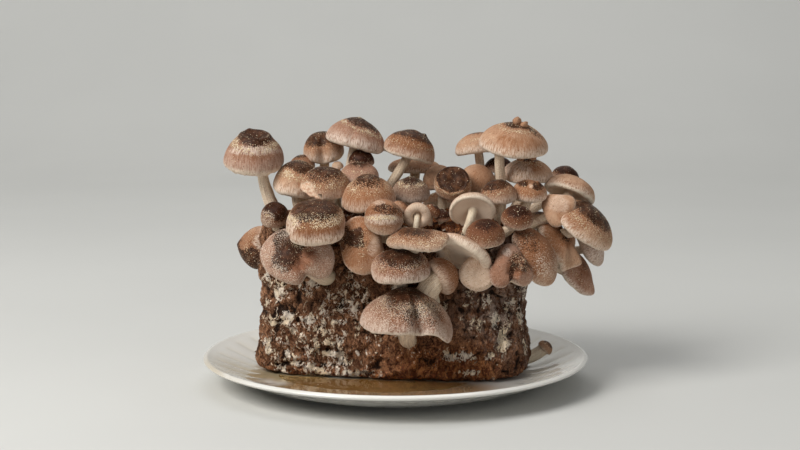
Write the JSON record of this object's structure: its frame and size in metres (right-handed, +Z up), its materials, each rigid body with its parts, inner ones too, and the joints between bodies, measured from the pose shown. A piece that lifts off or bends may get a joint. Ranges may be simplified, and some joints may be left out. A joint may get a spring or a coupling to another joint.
{
  "type": "shiitake growing block on a plate",
  "caption": "Shiitake mushrooms fruiting from a brown sawdust block that stands in drained water on a white glazed plate.",
  "frame": {"origin": "centre of the bounding box's foot, on the surface under the plate", "axes": "+X to the right along the block, +Z up, -Y to the pictured front"},
  "size_m": [0.2957, 0.28, 0.1911],
  "materials": {
    "glaze": "clear white glaze over faint radial petals",
    "water": "still amber water",
    "sawdust": "brown crusted skin of grown-through sawdust, with cream mycelium",
    "mushroom": "matt tan skin, dark in the middle of the cap, cream flecks, stem and gills"
  },
  "bodies": {
    "root": {"plate": "glaze", "pooled_water": "water", "sawdust_block": "sawdust", "mushroom_front_low": "mushroom", "mushroom_frosted_middle": "mushroom", "mushroom_rolled_cream": "mushroom", "mushroom_pale_low": "mushroom", "mushroom_twisted": "mushroom", "mushroom_curled_bud": "mushroom", "mushroom_long_shelf": "mushroom", "mushroom_red_brown": "mushroom", "mushroom_round_banded": "mushroom", "mushroom_broad_left": "mushroom", "mushroom_lobed_left": "mushroom", "mushroom_brown_face": "mushroom", "mushroom_gnarled": "mushroom", "mushroom_big_drooping": "mushroom", "mushroom_open_gills": "mushroom", "mushroom_dark_front_right": "mushroom", "mushroom_dome_middle": "mushroom", "mushroom_torn": "mushroom", "mushroom_dark_button": "mushroom", "mushroom_left_dome": "mushroom", "mushroom_tall_left": "mushroom", "mushroom_shrivelled": "mushroom", "mushroom_small_middle": "mushroom", "mushroom_pale_middle": "mushroom", "mushroom_dark_middle": "mushroom", "mushroom_pale_stub": "mushroom", "mushroom_top_centre": "mushroom", "mushroom_cleft_back": "mushroom", "mushroom_hidden_left": "mushroom", "mushroom_peaked": "mushroom", "mushroom_wide_back": "mushroom", "mushroom_cup_face": "mushroom", "mushroom_grey_back": "mushroom", "mushroom_brown_back": "mushroom", "mushroom_small_right": "mushroom", "mushroom_scarred": "mushroom", "mushroom_broad_right": "mushroom", "mushroom_tall_right": "mushroom", "mushroom_pale_behind": "mushroom", "mushroom_dark_back_right": "mushroom", "mushroom_back_dark_right": "mushroom", "mushroom_shelf_right": "mushroom", "mushroom_pale_lobed": "mushroom", "mushroom_far_right": "mushroom", "mushroom_folded_right": "mushroom", "mushroom_flat_right": "mushroom", "mushroom_grey_under": "mushroom", "mushroom_hanging_right": "mushroom", "mushroom_pin_low_right": "mushroom", "mushroom_tucked_middle": "mushroom", "mushroom_tucked_bud": "mushroom", "mushroom_dark_pin": "mushroom", "mushroom_rear_left_high": "mushroom", "mushroom_rear_left_low": "mushroom", "mushroom_rear_middle": "mushroom", "mushroom_rear_right_high": "mushroom", "mushroom_rear_right_low": "mushroom"}
  },
  "joints": []
}
